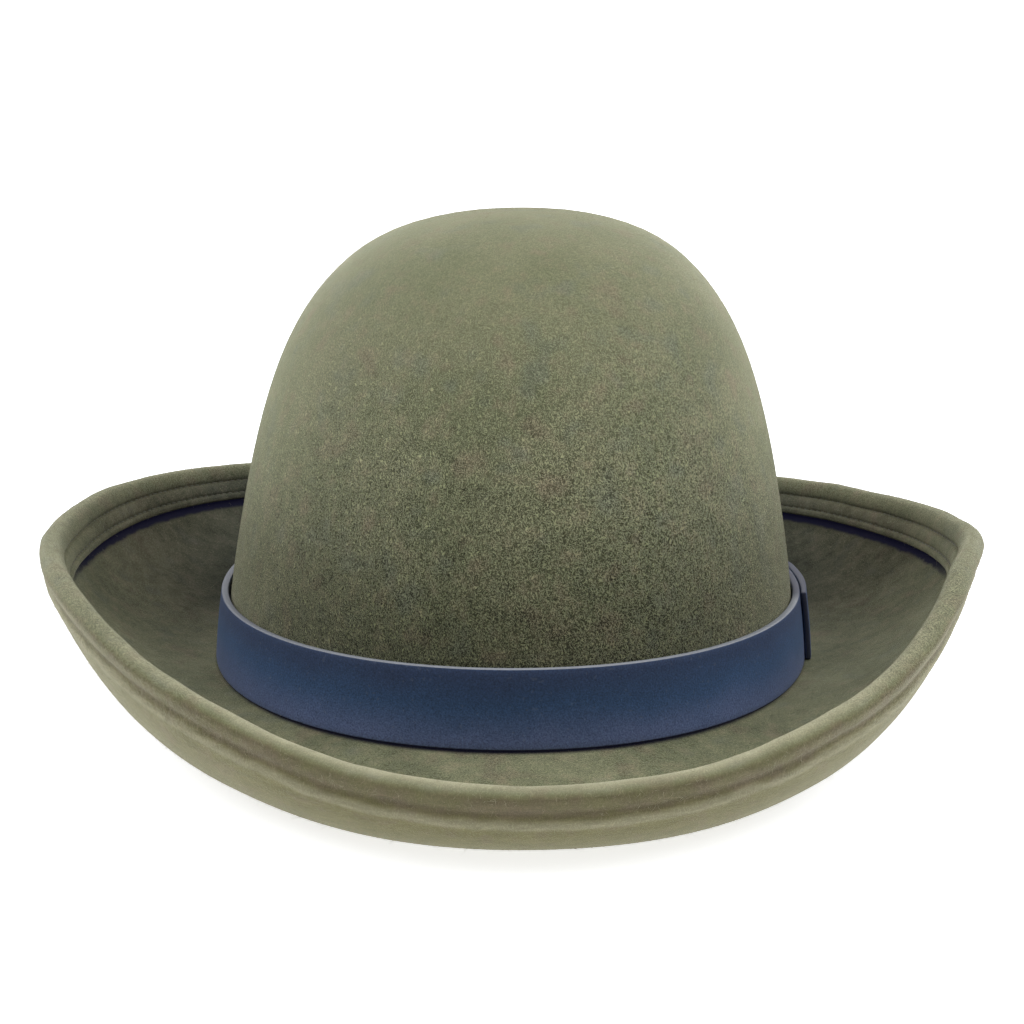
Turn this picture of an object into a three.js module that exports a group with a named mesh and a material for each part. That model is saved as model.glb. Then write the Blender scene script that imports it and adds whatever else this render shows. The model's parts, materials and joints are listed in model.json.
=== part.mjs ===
// Alpine hat: a round open-crown felt hat with its brim turned up all round
// and a plain leather band, resting on a table. Millimetres, +Z up.
// The origin is on the table below the middle of the head opening. The front
// of the hat faces -Y, and +X is the wearer's left.
import * as THREE from 'three';

// Felt cap: the oval where crown and brim meet, and the felt itself.
const HEADLINE = { halfWidth: 86, halfLength: 101.6, sag: 2.3 };
const FELT = 2.2;

// Corners where the crown turns into the brim, outside and inside, measured
// out from the oval and up from the headline.
const CROWN_FOOT = [
  { out: -0.6, up: 5 },
  { out: -0.1, up: -0.1 },
];
const MOUTH_LIP = [
  { out: -0.6, up: -2.1 },
  { out: -2.2, up: 1.5 },
];

// Crown outline, seen from the front. Climb is the angle up the dome and
// spread is the half-width that a round dome would have to pass there. The
// crown leans to the wearer's left, and its tip a little more.
const CROWN = { height: 127.8, lean: 2.3, tipLean: 1.6, tipOval: 1.12 };
const DOME = [
  { climb: 0, spread: 86 },
  { climb: 15, spread: 84.3 },
  { climb: 30, spread: 86.9 },
  { climb: 45, spread: 93.8 },
  { climb: 60, spread: 104.8 },
  { climb: 75, spread: 121.5 },
  { climb: 90, spread: 135 },
];

// Brim, at equal steps from the front towards the wearer's left. Root is its
// slope in degrees where it leaves the crown and edge its slope at the rolled
// edge. A higher curl keeps the turn nearer the edge.
const BRIM = { width: 66.3, frontExtra: 0.9, drop: 1.4 };
const BRIM_SHAPE = [
  { root: -12.1, edge: 95.4, curl: 3.4 },
  { root: -13.3, edge: 94.8, curl: 2.1 },
  { root: 1.4, edge: 83.4, curl: 1.15 },
  { root: 2.2, edge: 75.5, curl: 1.25 },
  { root: 4.5, edge: 69.1, curl: 1.8 },
  { root: 1.6, edge: 66.7, curl: 2.2 },
  { root: 3.6, edge: 64.2, curl: 2.25 },
  { root: 7.2, edge: 63.2, curl: 1.95 },
  { root: 8.4, edge: 66.2, curl: 1.35 },
  { root: 3.7, edge: 81.9, curl: 1.35 },
  { root: -3.4, edge: 88.5, curl: 1.25 },
  { root: -13.6, edge: 100.9, curl: 2.05 },
];

// Welt: the felt turned over at the edge and sewn down on the upper side.
// Back is the distance in from the very edge, up the height over the middle
// of the brim's felt.
const EDGE_ROLL = 3.2;
const WELT_TOP = [
  { back: 14.6, up: 1.7 },
  { back: 14.8, up: 2.6 },
  { back: 14.2, up: 3.3 },
  { back: 13.0, up: 3.3 },
  { back: 12.2, up: 2.9 },
  { back: 11.4, up: 3.2 },
  { back: 8.3, up: 3.1 },
  { back: 7.0, up: 2.4 },
  { back: 5.7, up: 3.1 },
];
const WELT_SLOT = [
  { back: 17, up: 0.9 },
  { back: 14.4, up: 0.6 },
  { back: 11.5, up: 0.3 },
  { back: 9, up: 0.2 },
  { back: 9, up: 0.5 },
  { back: 11.5, up: 0.9 },
];
const EDGE_UNDERSIDE = [
  { back: 4.9, down: 2.2 },
  { back: 7.4, down: 2.6 },
  { back: 12, down: 1.8 },
  { back: 17, down: 1.3 },
];

// Leather band, from its inner tail under the lap, once round, to its outer
// end at the wearer's left, which is pared thin over its last few degrees.
// Angles run from the front towards the left.
const BAND = { width: 20.3, thickness: 2.2, inset: 2.26, bevel: 0.35 };
const BAND_GAP = 0.5;
const LAP = { tail: 97, rise: -255, settled: -265, end: -284, gap: 0.3, pared: 1.6, paring: 12 };
const SEAT_GAP = 0.3;

// Rest on the table: the hat tips back until its front dip and the back of
// the headline both bear, and the felt settles flat by a little there. Aside
// brings the middle of the brim over the origin.
const REST = { tip: 1.35, lift: 4.5, aside: 0.83 };

// How finely the felt is divided: stations round the hat, climb angles up the
// dome, and distances along the brim for its upper side and its underside.
const STATIONS = 72;
const PATH_STEPS = 40;
const OUTER_CLIMB = { first: 84, last: 12, step: 6 };
const INNER_CLIMB = { first: 6, last: 84, steps: 9 };
const BRIM_UPPER = [1.5, 8, 15, 22, 29, 36, 42, 47];
const BRIM_UNDER = [45, 40, 35, 30, 24, 17, 10, 4];
const ROLL_TURN = { first: 75, last: -90, step: 27.5 };
const BAND_STEP = 5;
const DEG = Math.PI / 180;

// Value of a smooth curve through evenly spaced numbers at position t.
function smooth(values, t, closed) {
  const count = values.length;
  const cell = Math.min(Math.floor(t), closed ? count - 1 : count - 2);
  const pick = (i) => values[closed ? (i + count) % count : THREE.MathUtils.clamp(i, 0, count - 1)];
  const [p0, p1, p2, p3] = [-1, 0, 1, 2].map((step) => pick(cell + step));
  const f = t - cell;
  const slope1 = (p2 - p0) / 2;
  const slope2 = (p3 - p1) / 2;
  const bend = 2 * (p1 - p2) + slope1 + slope2;
  return p1 + f * (slope1 + f * (p2 - p1 - slope1 - bend + f * bend));
}

function brimColumn(name, angle) {
  const turn = ((angle / 360) % 1 + 1) % 1;
  return smooth(BRIM_SHAPE.map((row) => row[name]), turn * BRIM_SHAPE.length, true);
}

// Height of the headline, which is lowest at the two sides.
function headline(angle) {
  return -HEADLINE.sag * Math.sin(angle * DEG) ** 2;
}

// Point at a distance out from the headline oval, measured square to it.
function outFromHead(angle, out, up) {
  const sin = Math.sin(angle * DEG);
  const cos = Math.cos(angle * DEG);
  const square = new THREE.Vector2(sin / HEADLINE.halfWidth, -cos / HEADLINE.halfLength).normalize();
  return new THREE.Vector3(
    HEADLINE.halfWidth * sin + square.x * out,
    -HEADLINE.halfLength * cos + square.y * out,
    up,
  );
}

// Point of the dome at a climb angle, a depth in from its outer face.
function onDome(angle, climb, depth) {
  const along = (climb / 90) * (DOME.length - 1);
  const spread = smooth(DOME.map((row) => row.spread), along, false);
  const oval = THREE.MathUtils.lerp(
    HEADLINE.halfLength / HEADLINE.halfWidth, CROWN.tipOval, climb / 90);
  const level = Math.cos(climb * DEG);
  const share = climb / 90;
  const lean = CROWN.lean * share + CROWN.tipLean * share ** 4;
  return new THREE.Vector3(
    (spread - depth) * level * Math.sin(angle * DEG) + lean,
    -(spread * oval - depth) * level * Math.cos(angle * DEG),
    (CROWN.height - depth) * Math.sin(climb * DEG),
  );
}

// Middle line of the brim's felt at one angle, as steps of distance out,
// height and slope from the headline to the centre of the edge roll.
function brimPath(angle) {
  const width = BRIM.width + BRIM.frontExtra * Math.cos(angle * DEG);
  const root = brimColumn('root', angle) * DEG;
  const turn = brimColumn('edge', angle) * DEG - root;
  const curl = brimColumn('curl', angle);
  const step = width / PATH_STEPS;
  const steps = [{ out: 0, up: headline(angle) - BRIM.drop, slope: root }];
  for (let i = 1; i <= PATH_STEPS; i += 1) {
    const last = steps[i - 1];
    const middle = root + turn * ((i - 0.5) / PATH_STEPS) ** curl;
    steps.push({
      out: last.out + Math.cos(middle) * step,
      up: last.up + Math.sin(middle) * step,
      slope: root + turn * (i / PATH_STEPS) ** curl,
    });
  }
  return { width, steps };
}

// Point beside the brim's middle line: along from the headline, off above it.
function onBrim(angle, path, along, off) {
  const place = THREE.MathUtils.clamp((along / path.width) * PATH_STEPS, 0, PATH_STEPS - 1e-6);
  const a = path.steps[Math.floor(place)];
  const b = path.steps[Math.floor(place) + 1];
  const f = place % 1;
  const slope = THREE.MathUtils.lerp(a.slope, b.slope, f);
  const out = THREE.MathUtils.lerp(a.out, b.out, f) - Math.sin(slope) * off;
  const up = THREE.MathUtils.lerp(a.up, b.up, f) + Math.cos(slope) * off;
  return outFromHead(angle, out, up);
}

// Tips and lowers a point of the upright hat onto the table.
function rest(point) {
  const settled = point.clone().applyAxisAngle(new THREE.Vector3(1, 0, 0), -REST.tip * DEG);
  settled.x -= REST.aside;
  settled.z = Math.max(settled.z + REST.lift, 0);
  return settled;
}

// One section of the cap from the outside of the tip, over the brim and its
// welt, to the inside of the tip. The two tip points are shared poles.
function capSection(angle) {
  const path = brimPath(angle);
  const edge = path.width + EDGE_ROLL;
  const half = FELT / 2;
  const points = [];
  for (let climb = OUTER_CLIMB.first; climb >= OUTER_CLIMB.last; climb -= OUTER_CLIMB.step) {
    points.push(onDome(angle, climb, 0));
  }
  for (const row of CROWN_FOOT) points.push(outFromHead(angle, row.out, headline(angle) + row.up));
  for (const along of BRIM_UPPER) points.push(onBrim(angle, path, along, half));
  for (const row of WELT_SLOT) points.push(onBrim(angle, path, edge - row.back, row.up));
  for (const row of WELT_TOP) points.push(onBrim(angle, path, edge - row.back, row.up));
  for (let turn = ROLL_TURN.first; turn >= ROLL_TURN.last; turn -= ROLL_TURN.step) {
    points.push(rollPoint(angle, path, turn));
  }
  for (const row of EDGE_UNDERSIDE) points.push(onBrim(angle, path, edge - row.back, -row.down));
  for (const along of BRIM_UNDER) points.push(onBrim(angle, path, along, -half));
  for (const row of MOUTH_LIP) points.push(outFromHead(angle, row.out, headline(angle) + row.up));
  for (let i = 0; i <= INNER_CLIMB.steps; i += 1) {
    const climb = THREE.MathUtils.lerp(INNER_CLIMB.first, INNER_CLIMB.last, i / INNER_CLIMB.steps);
    points.push(onDome(angle, climb, FELT));
  }
  return points;
}

// Point of the round outer edge, turned from straight above its centre.
function rollPoint(angle, path, turn) {
  const last = path.steps[PATH_STEPS];
  const way = last.slope + turn * DEG;
  return outFromHead(angle, last.out + Math.cos(way) * EDGE_ROLL, last.up + Math.sin(way) * EDGE_ROLL);
}

// Closed mesh from rings of points, capped by one tip point at each end.
function skin(rings, firstTip, lastTip) {
  const count = rings[0].length;
  const points = [firstTip, ...rings.flat(), lastTip];
  const faces = [];
  const at = (ring, i) => 1 + ring * count + (i % count);
  for (let i = 0; i < count; i += 1) {
    faces.push(0, at(0, i), at(0, i + 1));
    faces.push(points.length - 1, at(rings.length - 1, i + 1), at(rings.length - 1, i));
    for (let ring = 0; ring + 1 < rings.length; ring += 1) {
      faces.push(at(ring, i), at(ring + 1, i), at(ring + 1, i + 1));
      faces.push(at(ring, i), at(ring + 1, i + 1), at(ring, i + 1));
    }
  }
  return meshGeometry(points, faces);
}

function meshGeometry(points, faces) {
  const geometry = new THREE.BufferGeometry().setFromPoints(points);
  geometry.setIndex(faces);
  geometry.computeVertexNormals();
  return geometry;
}

function feltCap() {
  const sections = [];
  for (let i = 0; i < STATIONS; i += 1) sections.push(capSection((360 * i) / STATIONS));
  const rings = sections[0].map((_, ring) => sections.map((section) => rest(section[ring])));
  return skin(rings, rest(onDome(0, 90, 0)), rest(onDome(0, 90, FELT)));
}

// Height at which the band's lower edge just clears the brim.
function bandSeat(angle) {
  const path = brimPath(angle);
  const heights = [BAND_GAP, BAND_GAP + BAND.thickness].map(
    (out) => onBrim(angle, path, out, FELT / 2).z);
  return Math.max(...heights) + SEAT_GAP;
}

// The band's own thickness plus the gap, where it rides over its tail.
function lapOffset(angle) {
  const climbed = THREE.MathUtils.smoothstep(LAP.rise - angle, 0, LAP.rise - LAP.settled);
  return climbed * (BAND.thickness + LAP.gap);
}

// Thickness of the leather, which falls towards the pared outer end.
function bandThickness(angle) {
  const left = THREE.MathUtils.smoothstep(angle - LAP.end, 0, LAP.paring);
  return THREE.MathUtils.lerp(LAP.pared, BAND.thickness, left);
}

// Rectangular section of the band with its corners taken off, as a closed
// loop of points that runs up its inner face and down its outer face.
function bandSection(angle) {
  const inner = BAND_GAP + lapOffset(angle);
  const outer = inner + bandThickness(angle);
  const seat = bandSeat(angle);
  const { width, bevel, inset } = BAND;
  const corners = [
    [inner, bevel], [inner, width - bevel], [inner + bevel, width], [outer - bevel, width],
    [outer, width - bevel], [outer, bevel], [outer - bevel, 0], [inner + bevel, 0],
  ];
  return corners.map(([out, up]) => outFromHead(angle, out - (inset * up) / width, seat + up));
}

function leatherBand() {
  const turns = LAP.tail - LAP.end;
  const count = Math.round(turns / BAND_STEP);
  const rings = [];
  for (let i = 0; i <= count; i += 1) {
    rings.push(bandSection(LAP.tail - (turns * i) / count).map(rest));
  }
  const middle = (ring) => {
    const sum = ring.reduce((total, p) => total.add(p), new THREE.Vector3());
    return sum.divideScalar(ring.length);
  };
  return skin(rings, middle(rings[0]), middle(rings[rings.length - 1]));
}

function named(name, geometry, look) {
  const mesh = new THREE.Mesh(geometry, new THREE.MeshStandardMaterial(look));
  mesh.name = name;
  return mesh;
}

const hat = new THREE.Group();
hat.add(named('felt_cap', feltCap(), { color: 0x6e6f4e, roughness: 0.95, metalness: 0 }));
hat.add(named('leather_band', leatherBand(), { color: 0x2c3a50, roughness: 0.6, metalness: 0 }));

export default hat;
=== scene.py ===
"""Alpine hat: a felt cap with a turned-up brim and sewn welt, and a leather band.

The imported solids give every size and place. The felt cap and the leather band
are rebuilt here at a finer scale on the same sections, and dressed with felt,
leather and thread. Sections are worked out in millimetres and the finished
meshes are in metres. The front of the hat faces -Y and +X is the wearer's left.
"""

import json
import logging
import math
from dataclasses import dataclass
from enum import Enum

import bpy
import numpy as np
from mathutils import Matrix, Vector

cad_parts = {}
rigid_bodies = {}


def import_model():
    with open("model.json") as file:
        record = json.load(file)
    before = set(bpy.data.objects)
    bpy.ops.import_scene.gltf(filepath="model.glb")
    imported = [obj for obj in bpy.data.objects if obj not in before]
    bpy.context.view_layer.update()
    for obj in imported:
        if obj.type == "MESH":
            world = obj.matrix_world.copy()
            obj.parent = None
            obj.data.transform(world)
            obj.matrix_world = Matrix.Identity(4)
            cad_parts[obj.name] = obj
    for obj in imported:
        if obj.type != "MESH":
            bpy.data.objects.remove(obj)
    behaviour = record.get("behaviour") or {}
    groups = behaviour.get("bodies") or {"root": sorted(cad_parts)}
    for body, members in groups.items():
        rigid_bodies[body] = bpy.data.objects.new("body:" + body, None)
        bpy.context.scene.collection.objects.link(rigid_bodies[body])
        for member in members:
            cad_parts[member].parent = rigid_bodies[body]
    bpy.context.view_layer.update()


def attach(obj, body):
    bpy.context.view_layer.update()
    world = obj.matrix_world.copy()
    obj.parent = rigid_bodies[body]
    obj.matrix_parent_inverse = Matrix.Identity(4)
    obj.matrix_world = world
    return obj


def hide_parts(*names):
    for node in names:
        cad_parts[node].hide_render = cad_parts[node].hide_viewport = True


MM = 0.001
LOG = logging.getLogger("alpine_hat")


# Shader maths.


class Wire:
    """A shader socket that takes part in Python arithmetic."""

    def __init__(self, kit: "NodeKit", socket: bpy.types.NodeSocket) -> None:
        self.kit = kit
        self.socket = socket

    def _math(self, operation: str, *values: "Wire | float") -> "Wire":
        """Adds one Math node.

        Args:
            operation: The Math node's operation.
            values: The values or wires of its inputs, in order.

        Returns:
            The node's result.
        """
        sockets = dict(enumerate(values))
        return self.kit.node("ShaderNodeMath", {"operation": operation}, sockets)

    def __add__(self, other: "Wire | float") -> "Wire":
        """Sum."""
        return self._math("ADD", self, other)

    def __radd__(self, other: float) -> "Wire":
        """Sum, reflected."""
        return self._math("ADD", other, self)

    def __sub__(self, other: "Wire | float") -> "Wire":
        """Difference."""
        return self._math("SUBTRACT", self, other)

    def __rsub__(self, other: float) -> "Wire":
        """Difference, reflected."""
        return self._math("SUBTRACT", other, self)

    def __mul__(self, other: "Wire | float") -> "Wire":
        """Product."""
        return self._math("MULTIPLY", self, other)

    def __abs__(self) -> "Wire":
        """Size without the sign."""
        return self._math("ABSOLUTE", self)

    def held(self, low: float = 0.0, high: float = 1.0) -> "Wire":
        """This value held between two numbers."""
        return self._math("MINIMUM", self._math("MAXIMUM", self, low), high)

    def ramp(self, start: float, end: float) -> "Wire":
        """Smooth step of this value.

        Args:
            start: Value that gives 0.
            end: Value that gives 1.

        Returns:
            A value that rises smoothly from 0 to 1.
        """
        settings = {"interpolation_type": "SMOOTHSTEP"}
        return self.kit.node("ShaderNodeMapRange", settings, {"Value": self, 1: start, 2: end})

    def span(self, ends_mm: tuple[float, float]) -> "Wire":
        """Smooth step of a distance in metres between two in millimetres."""
        return self.ramp(ends_mm[0] * MM, ends_mm[1] * MM)


class NodeKit:
    """Adds nodes to one material or world and joins them up."""

    def __init__(self, tree: bpy.types.NodeTree) -> None:
        """Starts from an empty tree."""
        self.tree = tree
        tree.nodes.clear()

    def raw(self, kind: str, settings: dict, sockets: dict) -> bpy.types.Node:
        """Adds a node of any type.

        Args:
            kind: The node's type.
            settings: Its properties, which are set first.
            sockets: Input name or number to a value, a colour or a Wire.

        Returns:
            The node.
        """
        node = self.tree.nodes.new(kind)
        for name, value in settings.items():
            setattr(node, name, value)
        for key, value in sockets.items():
            socket = node.inputs[key]
            if isinstance(value, Wire):
                self.tree.links.new(value.socket, socket)
            else:
                socket.default_value = value
        return node

    def node(self, kind: str, settings: dict, sockets: dict, output: int | str = 0) -> Wire:
        """Adds a node and gives one of its outputs; see raw for the arguments."""
        return Wire(self, self.raw(kind, settings, sockets).outputs[output])

    def place(self) -> Wire:
        """Object coordinates in metres."""
        return self.node("ShaderNodeTexCoord", {}, {}, "Object")

    def attribute(self, name: str) -> Wire:
        """A number that the mesh stores at its vertices under a name."""
        return self.node("ShaderNodeAttribute", {"attribute_name": name}, {}, "Fac")

    def split(self, vector: Wire) -> list[Wire]:
        """The X, Y and Z of a vector."""
        return [Wire(self, o) for o in self.raw("ShaderNodeSeparateXYZ", {}, {0: vector}).outputs]

    def noise(self, size_mm: float, detail: float = 2.0, rough: float = 0.5) -> Wire:
        """Noise over the object's own coordinates.

        Args:
            size_mm: Feature size in millimetres.
            detail: How many finer octaves ride on it.
            rough: How strong each finer octave is.

        Returns:
            A value about 0.5.
        """
        scale = 1.0 / (size_mm * MM)
        sockets = {"Vector": self.place(), "Scale": scale, "Detail": detail, "Roughness": rough}
        return self.node("ShaderNodeTexNoise", {}, sockets)

    def drawn_out(
        self, sizes_mm: tuple, detail: float, at: Wire, turn: tuple = (0.0, 0.0, 0.0)
    ) -> Wire:
        """Noise drawn out along its own axes.

        Args:
            sizes_mm: Feature size in millimetres along X, Y and Z.
            detail: How many finer octaves ride on it.
            at: The vector that the noise reads.
            turn: Turn of the noise's axes in radians about X, Y and Z.

        Returns:
            A value about 0.5.
        """
        scale = tuple(size * MM for size in sizes_mm)
        sockets = {"Vector": at, "Rotation": turn, "Scale": scale}
        place = self.node("ShaderNodeMapping", {"vector_type": "TEXTURE"}, sockets)
        sockets = {"Vector": place, "Scale": 1.0, "Detail": detail}
        return self.node("ShaderNodeTexNoise", {}, sockets)

    def blend(self, factor: Wire | float, first: tuple | Wire, second: tuple | Wire) -> Wire:
        """Mix of two colours."""
        settings = {"data_type": "RGBA", "clamp_factor": True}
        return self.node(
            "ShaderNodeMix", settings, {0: factor, 6: _rgba(first), 7: _rgba(second)}, 2
        )

    def tint(self, colour: tuple | Wire, amount: Wire) -> Wire:
        """Colour multiplied by a grey amount that may pass 1."""
        grey = self.node("ShaderNodeCombineXYZ", {}, {0: amount, 1: amount, 2: amount})
        settings = {"operation": "MULTIPLY"}
        return self.node("ShaderNodeVectorMath", settings, {0: colour, 1: grey})

    def bump(self, height: Wire, strength: float, reach_mm: float) -> Wire:
        """Normal bent by a height that is 0 to 1 over reach_mm."""
        sockets = {"Strength": strength, "Distance": reach_mm * MM, "Height": height}
        return self.node("ShaderNodeBump", {}, sockets)

    def principled(self, sockets: dict) -> Wire:
        """Principled shader with the named sockets set."""
        return self.node("ShaderNodeBsdfPrincipled", {}, sockets)

    def mixed(self, factor: Wire, first: Wire, second: Wire) -> Wire:
        """Mix of two shaders."""
        return self.node("ShaderNodeMixShader", {}, {0: factor, 1: first, 2: second})

    def surface(self, shader: Wire, output: str = "ShaderNodeOutputMaterial") -> None:
        """Feeds the shader to the tree's output."""
        self.raw(output, {}, {"Surface": shader})


def _rgba(colour: tuple | Wire) -> tuple | Wire:
    """Colour with an alpha of 1, or the wire as it is."""
    return colour if isinstance(colour, Wire) else (*colour, 1.0)


def new_material(name: str) -> tuple[bpy.types.Material, NodeKit]:
    """Makes an empty node material.

    Args:
        name: The material's name.
    """
    material = bpy.data.materials.new(name)
    material.use_nodes = True
    return material, NodeKit(material.node_tree)


# Finishes.


@dataclass(frozen=True)
class FeltGrain:
    """Patterns in the felt, each about 0.5 except the fibres, which start from 0."""

    cloud: Wire
    mottle: Wire
    hue: Wire
    fleck: Wire
    fibre: Wire
    wisp: Wire


@dataclass(frozen=True)
class FeltZones:
    """Parts of the felt, each 1 inside and 0 outside."""

    valley: Wire
    ridge: Wire
    roll: Wire
    groove: Wire
    free_edge: Wire
    inner: Wire
    behind: Wire
    front: Wire
    beside: Wire
    deep_in: Wire
    shadow_under_welt: Wire
    shadow_under_band: Wire
    crown: Wire
    foot: Wire
    outside: Wire
    lower: Wire
    high_side: Wire
    side: Wire
    tip: Wire
    rim: Wire
    welt: Wire


@dataclass(frozen=True)
class FeltFinish:
    """Dense wool felt with a short soft nap, teased up round the edge."""

    deep: tuple = (0.152, 0.164, 0.088)
    olive: tuple = (0.182, 0.188, 0.106)
    brown: tuple = (0.190, 0.150, 0.100)
    slate: tuple = (0.130, 0.148, 0.108)
    khaki: tuple = (0.190, 0.170, 0.068)
    # Painted highlight: the pale on the roll's top, on the ridge beneath it and on the welt's
    # free edge, where light catches.
    painted_highlight: tuple = (0.42, 0.40, 0.27)
    # Painted shadow: a near-black navy with a faint navy glow, laid under the welt's free edge
    # and under the band.
    painted_shadow: tuple = (0.005, 0.005, 0.016)
    painted_shadow_glow: tuple = (0.0035, 0.0035, 0.0105)
    # Painted shade: umber deep inside the rear of the brim and pine beside the crown's back,
    # where the crown shades the brim.
    shade_umber: tuple = (0.085, 0.072, 0.062)
    shade_pine: tuple = (0.058, 0.078, 0.068)
    sheen: tuple = (0.86, 0.85, 0.66)
    roughness: float = 0.93
    cloud_mm: float = 26.0
    hue_mm: float = 9.0
    mottle_mm: float = 5.0
    fleck_mm: float = 0.42
    wisp_mm: tuple = (6.0, 6.0, 0.9)
    fibre_mm: tuple = (1.1, 0.20, 0.20)
    curl_mm: float = 1.6
    curl_reach_mm: float = 1.4
    most_fibre: float = 1.4
    light_range: tuple = (0.12, 2.8)
    nap_mm: float = 0.35

    # Turns about X, Y and Z that lay the fibres every way over the felt, and the
    # noise that starts and completes a fibre.
    FIBRE_TURNS = ((0.0, 0.35, 0.3), (0.2, 1.35, -0.5), (0.4, -0.7, 1.1))
    FIBRE_RAMP = (0.575, 0.74)

    # Stripes: their middle and half their width, in millimetres in from the
    # brim's very edge, or out from the crown's foot for the painted shadow under the band.
    VALLEY = (-4.9, 2.0)
    RIDGE = (-7.5, 1.6)
    ROLL = (0.6, 4.2)
    GROOVES = ((7.0, 0.9), (12.2, 0.7))
    FREE_EDGE = (14.6, 0.6)
    SHADOW_UNDER_BAND = (1.2, 2.4)

    def material(self) -> bpy.types.Material:
        """Builds the felt.

        The attribute edge_reach is the distance from the brim's edge, and
        root_reach the distance out from the crown's foot, below 0 up the crown.

        Returns:
            The material.
        """
        material, kit = new_material("olive_felt")
        grain = FeltGrain(
            cloud=kit.noise(self.cloud_mm),
            mottle=kit.noise(self.mottle_mm, rough=0.6),
            hue=kit.noise(self.hue_mm, 1.0, 0.6),
            fleck=kit.noise(self.fleck_mm, 1.0, 0.7),
            fibre=self._fibres(kit),
            wisp=kit.drawn_out(self.wisp_mm, 1.0, kit.place()),
        )
        zones = self._zones(kit, grain)
        coarse = self._coarseness(zones)
        colour = kit.tint(self._colour(kit, grain, zones), self._light(grain, zones, coarse))
        height = (grain.fleck * 0.5 + grain.fibre * 0.5) * coarse + grain.mottle * 0.25
        bent = kit.bump(height, 0.8, self.nap_mm)
        plain = {"Base Color": colour, "Roughness": self.roughness, "Normal": bent}
        sheen = {
            "Sheen Weight": 0.55,
            "Sheen Roughness": 0.42,
            "Sheen Tint": _rgba(self.sheen),
        }
        brushed = kit.principled({**plain, **sheen, "Specular IOR Level": 0.18})
        # Deep inside the rear of the brim the sheen is left out, as painted shade where the crown
        # shades the brim.
        flat = kit.principled({**plain, "Specular IOR Level": 0.1})
        felt = kit.mixed(zones.inner * zones.behind, brushed, flat)
        # Painted shadow: a dark shader with a faint navy glow, mixed in under the welt's free
        # edge and under the band, where shade falls.
        painted_shadow = {
            "Base Color": _rgba(self.painted_shadow),
            "Roughness": 1.0,
            "Specular IOR Level": 0.0,
            "Emission Color": _rgba(self.painted_shadow_glow),
            "Emission Strength": 1.0,
        }
        dark = (zones.shadow_under_welt * 0.92 + zones.shadow_under_band * 0.8).held()
        kit.surface(kit.mixed(dark, felt, kit.principled(painted_shadow)))
        return material

    def _fibres(self, kit: NodeKit) -> Wire:
        """Curled light fibres crossing each other, 0 between them and up to 1 on them."""
        scale = 1.0 / (self.curl_mm * MM)
        sockets = {"Vector": kit.place(), "Scale": scale, "Detail": 0.0}
        curl = kit.node("ShaderNodeTexNoise", {}, sockets, "Color")
        sockets = {0: curl, 1: (self.curl_reach_mm * MM,) * 3, 2: kit.place()}
        place = kit.node("ShaderNodeVectorMath", {"operation": "MULTIPLY_ADD"}, sockets)
        total = 0.0
        for turn in self.FIBRE_TURNS:
            total = total + kit.drawn_out(self.fibre_mm, 0.0, place, turn).ramp(*self.FIBRE_RAMP)
        return total.held(0.0, self.most_fibre)

    def _zones(self, kit: NodeKit, grain: FeltGrain) -> FeltZones:
        """Finds the parts of the felt; each span below is in millimetres.

        Args:
            grain: The felt's patterns, which fray the shade under the welt.

        Returns:
            The parts.
        """
        reach, root = kit.attribute("edge_reach"), kit.attribute("root_reach")
        across, back, up = kit.split(kit.place())
        sideways = abs(across)
        wander = (kit.noise(self.hue_mm, 1.0) - 0.5) * 1.6 * MM
        wandering = reach + wander
        crown = root.span((0.0, -4.0))
        # The painted shadow under the welt's free edge lies along the slot's mouth, frayed by the
        # grain, and fades out towards the front.
        frayed = root + (grain.fibre - 0.5) * 0.5 * MM + (grain.mottle - 0.5) * 2.2 * MM
        slot = frayed.span((51.4, 52.9)) * root.span((72.0, 64.0))
        grooves = [self._stripe(reach, *groove) for groove in self.GROOVES]
        return FeltZones(
            valley=self._stripe(wandering, *self.VALLEY),
            ridge=self._stripe(wandering, *self.RIDGE),
            roll=self._stripe(wandering, *self.ROLL),
            groove=grooves[0] + grooves[1],
            free_edge=self._stripe(reach, *self.FREE_EDGE),
            inner=reach.span((1.0, 9.0)) * root.span((-0.2, 0.2)),
            # behind, beside and deep_in mark where painted shade lies inside the rear of the
            # brim.
            behind=back.span((-55.0, 60.0)),
            front=back.span((-90.0, -150.0)),
            beside=sideways.span((126.0, 84.0)) * back.span((10.0, 60.0)),
            deep_in=root.span((46.0, 6.0)) * back.span((-30.0, 60.0)),
            shadow_under_welt=slot * back.span((-40.0, 10.0)),
            shadow_under_band=self._stripe(root, *self.SHADOW_UNDER_BAND),
            crown=crown,
            # foot marks the painted shade at the crown's foot, near the brim; it also coarsens
            # the grain there.
            foot=up.span((75.0, 20.0)) * crown,
            # outside is the brim's underside; besides its khaki colour it gets painted shade.
            outside=reach.span((-2.0, -5.0)),
            lower=up.span((125.0, 55.0)),
            high_side=sideways.span((40.0, 75.0)) * (up.span((45.0, 80.0)) * crown),
            # side and tip mark painted light on the crown's sides and top.
            side=sideways.span((45.0, 82.0)) * crown,
            tip=up.span((95.0, 130.0)),
            rim=reach.span((5.0, -1.0)),
            # welt marks where the rear welt gets painted light, more towards the wearer's left.
            welt=root.span((66.0, 76.0)) * (across.span((-60.0, 60.0)) * 0.30 + 0.04),
        )

    @staticmethod
    def _coarseness(zones: FeltZones) -> Wire:
        """How strongly the grain shows in each part of the felt."""
        coarse = 0.45 + (zones.lower * 0.78 + zones.foot * 0.14 - 0.12) * zones.crown
        coarse = coarse * (1.0 - zones.high_side * 0.45)
        coarse = coarse - zones.rim * zones.front * 0.28
        return coarse + zones.roll * (1.0 - zones.front) * 0.30

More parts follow.
